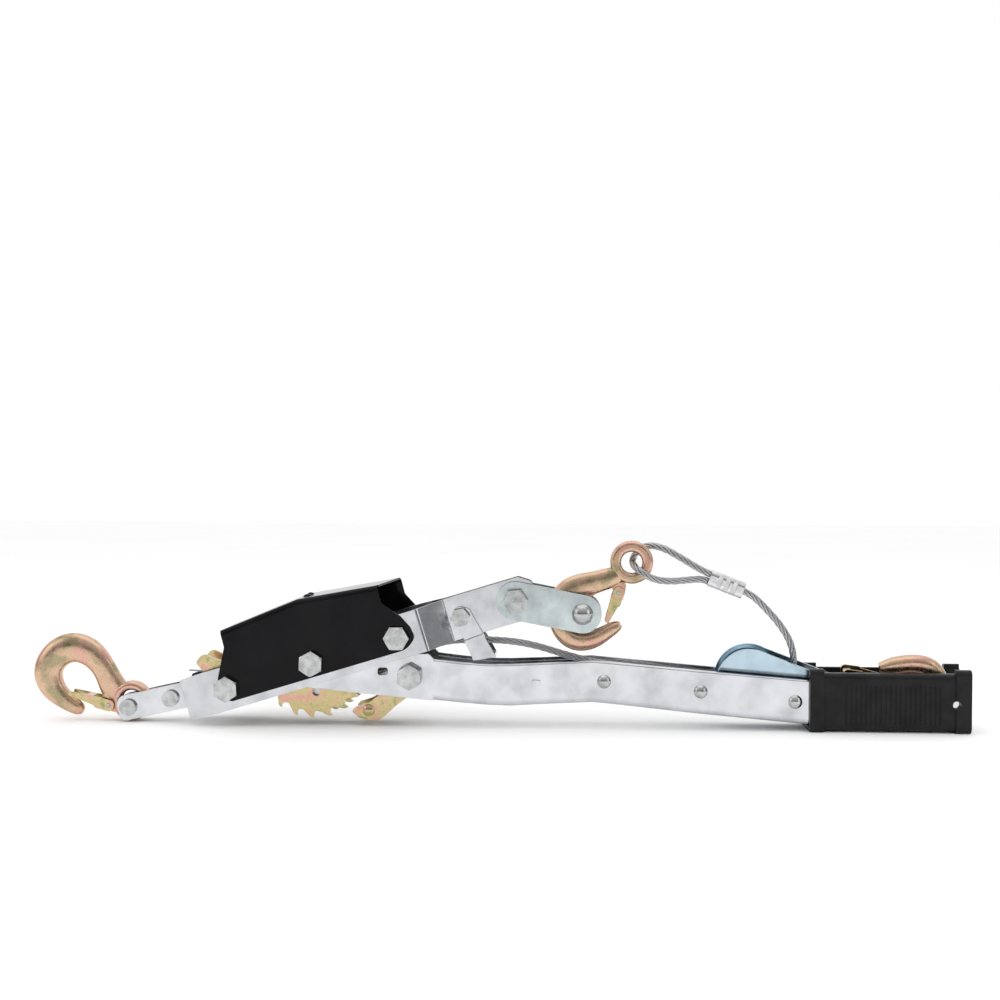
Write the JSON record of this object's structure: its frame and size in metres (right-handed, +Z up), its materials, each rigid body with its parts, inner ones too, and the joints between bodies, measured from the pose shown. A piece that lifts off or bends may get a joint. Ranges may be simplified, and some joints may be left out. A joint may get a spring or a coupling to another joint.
{
  "type": "come along winch",
  "caption": "Hand ratchet cable puller with a folding lever handle, hooked cable drum under a sheet cover, pulley block and latched hooks.",
  "frame": {"origin": "middle of the footprint, on the surface the winch lies on, measured without the loose rope", "axes": "+X from the front hook to the grip, +Y across the winch towards the nuts, +Z up"},
  "size_m": [0.7168, 0.072, 0.1422],
  "materials": {
    "aluminium": "swaged",
    "black_enamel": "gloss",
    "black_vinyl": "moulded, satin",
    "blue_zinc": "blue zinc plated sheet",
    "bright_zinc": "bright zinc plated sheet",
    "plated_hardware": "zinc plated",
    "rope": "stranded steel wire",
    "yellow_zinc": "yellow zinc plated forging"
  },
  "bodies": {
    "frame": {"frame_plate_near": "bright_zinc", "frame_plate_far": "bright_zinc", "cover": "black_enamel", "cover_screws": "black_enamel", "frame_bolts": "plated_hardware", "frame_nuts": "plated_hardware", "axle_sleeve": "plated_hardware", "front_sleeve": "plated_hardware", "rear_spacer": "plated_hardware", "arm_bolt": "plated_hardware", "arm_nuts": "plated_hardware", "arm_spacers": "plated_hardware", "cable_guide": "bright_zinc", "hold_spring": "plated_hardware", "anchor_bolt": "plated_hardware", "rope_run": "rope"},
    "drum": {"ratchet_near": "yellow_zinc", "ratchet_far": "yellow_zinc", "drum_core": "yellow_zinc", "winding": "rope"},
    "hold_pawl": {"hold_pawl_near": "yellow_zinc", "hold_pawl_far": "yellow_zinc", "hold_pawl_pin": "yellow_zinc"},
    "handle": {"handle_plate_near": "bright_zinc", "handle_plate_far": "bright_zinc", "handle_channel": "bright_zinc", "channel_rivets": "plated_hardware", "drive_bolt": "plated_hardware", "drive_nut": "plated_hardware", "drive_sleeve": "plated_hardware", "grip": "black_vinyl", "drive_spring": "plated_hardware"},
    "drive_pawl": {"drive_pawl_near": "yellow_zinc", "drive_pawl_far": "yellow_zinc", "drive_pawl_rivet": "yellow_zinc"},
    "front_link": {"link_plate_near": "bright_zinc", "link_plate_far": "bright_zinc", "link_spacer_rivet": "plated_hardware", "hook_rivet": "plated_hardware"},
    "front_hook": {"front_hook": "yellow_zinc", "front_latch_pin": "plated_hardware"},
    "front_latch": {"front_latch": "yellow_zinc"},
    "anchor_link": {"anchor_link_near": "bright_zinc", "anchor_link_far": "bright_zinc", "anchor_pin": "plated_hardware", "rope_loop": "rope", "ferrule": "aluminium"},
    "cable_hook": {"cable_hook": "yellow_zinc", "cable_latch_pin": "plated_hardware"},
    "cable_latch": {"cable_latch": "yellow_zinc"},
    "pulley_block": {"cheek_near": "blue_zinc", "cheek_far": "blue_zinc", "swivel_block": "blue_zinc", "sheave_pin": "blue_zinc"},
    "sheave": {"sheave": "blue_zinc"},
    "block_hook": {"block_hook": "yellow_zinc", "block_latch_pin": "plated_hardware"},
    "block_latch": {"block_latch": "yellow_zinc"}
  },
  "joints": [
    {"name": "drum_spin", "type": "hinge", "parent": "frame", "child": "drum", "pos_m": [-0.13586, 0, 0.0496], "axis": [0, 1, 0], "continuous": true},
    {"name": "handle_swing", "type": "hinge", "parent": "frame", "child": "handle", "pos_m": [-0.13586, 0, 0.0496], "axis": [0, 1, 0], "range_deg": [0, 90]},
    {"name": "drive_pawl_pivot", "type": "hinge", "parent": "handle", "child": "drive_pawl", "pos_m": [-0.06176, 0, 0.04], "axis": [0, 1, 0], "range_deg": [0, 9]},
    {"name": "hold_pawl_pivot", "type": "hinge", "parent": "frame", "child": "hold_pawl", "pos_m": [-0.20041, 0, 0.02986], "axis": [0, 1, 0], "range_deg": [0, 8]},
    {"name": "front_link_swing", "type": "hinge", "parent": "frame", "child": "front_link", "pos_m": [-0.20041, 0, 0.02986], "axis": [0, 1, 0], "range_deg": [-40, 7]},
    {"name": "front_hook_swing", "type": "hinge", "parent": "front_link", "child": "front_hook", "pos_m": [-0.28176, 0, 0.0115], "axis": [0, 1, 0], "range_deg": [-20, 50]},
    {"name": "front_latch_pivot", "type": "hinge", "parent": "front_hook", "child": "front_latch", "pos_m": [-0.29826, 0, 0.0126], "axis": [0, 1, 0], "range_deg": [0, 20], "stiffness_Nm_per_rad": 0.05, "springref_deg": -17.19},
    {"name": "anchor_link_swing", "type": "hinge", "parent": "frame", "child": "anchor_link", "pos_m": [0.01734, 0, 0.09644], "axis": [0, 1, 0], "range_deg": [-45, 0], "deforming": ["rope_run"]},
    {"name": "cable_hook_swing", "type": "hinge", "parent": "anchor_link", "child": "cable_hook", "pos_m": [0.06854, 0, 0.0866], "axis": [0, 1, 0], "range_deg": [-2, 4]},
    {"name": "cable_latch_pivot", "type": "hinge", "parent": "cable_hook", "child": "cable_latch", "pos_m": [0.09604, 0, 0.1026], "axis": [0, 1, 0], "range_deg": [0, 16], "stiffness_Nm_per_rad": 0.05, "springref_deg": -17.19},
    {"name": "pulley_block_swing", "type": "hinge", "parent": "frame", "child": "pulley_block", "pos_m": [0.19564, 0, 0.037], "axis": [0.0103, 0.9903, 0.1388], "range_deg": [-45, 0]},
    {"name": "sheave_spin", "type": "hinge", "parent": "pulley_block", "child": "sheave", "pos_m": [0.19564, 0, 0.037], "axis": [0.0103, 0.9903, 0.1388], "continuous": true},
    {"name": "block_hook_swivel", "type": "hinge", "parent": "pulley_block", "child": "block_hook", "pos_m": [0.25514, 0, 0.0326], "axis": [0.9973, 0, -0.0737], "range_deg": [-10, 10]},
    {"name": "block_latch_pivot", "type": "hinge", "parent": "block_hook", "child": "block_latch", "pos_m": [0.27014, -0.00154, 0.04249], "axis": [0.0103, 0.9903, 0.1388], "range_deg": [0, 12], "stiffness_Nm_per_rad": 0.05, "springref_deg": -17.19}
  ]
}
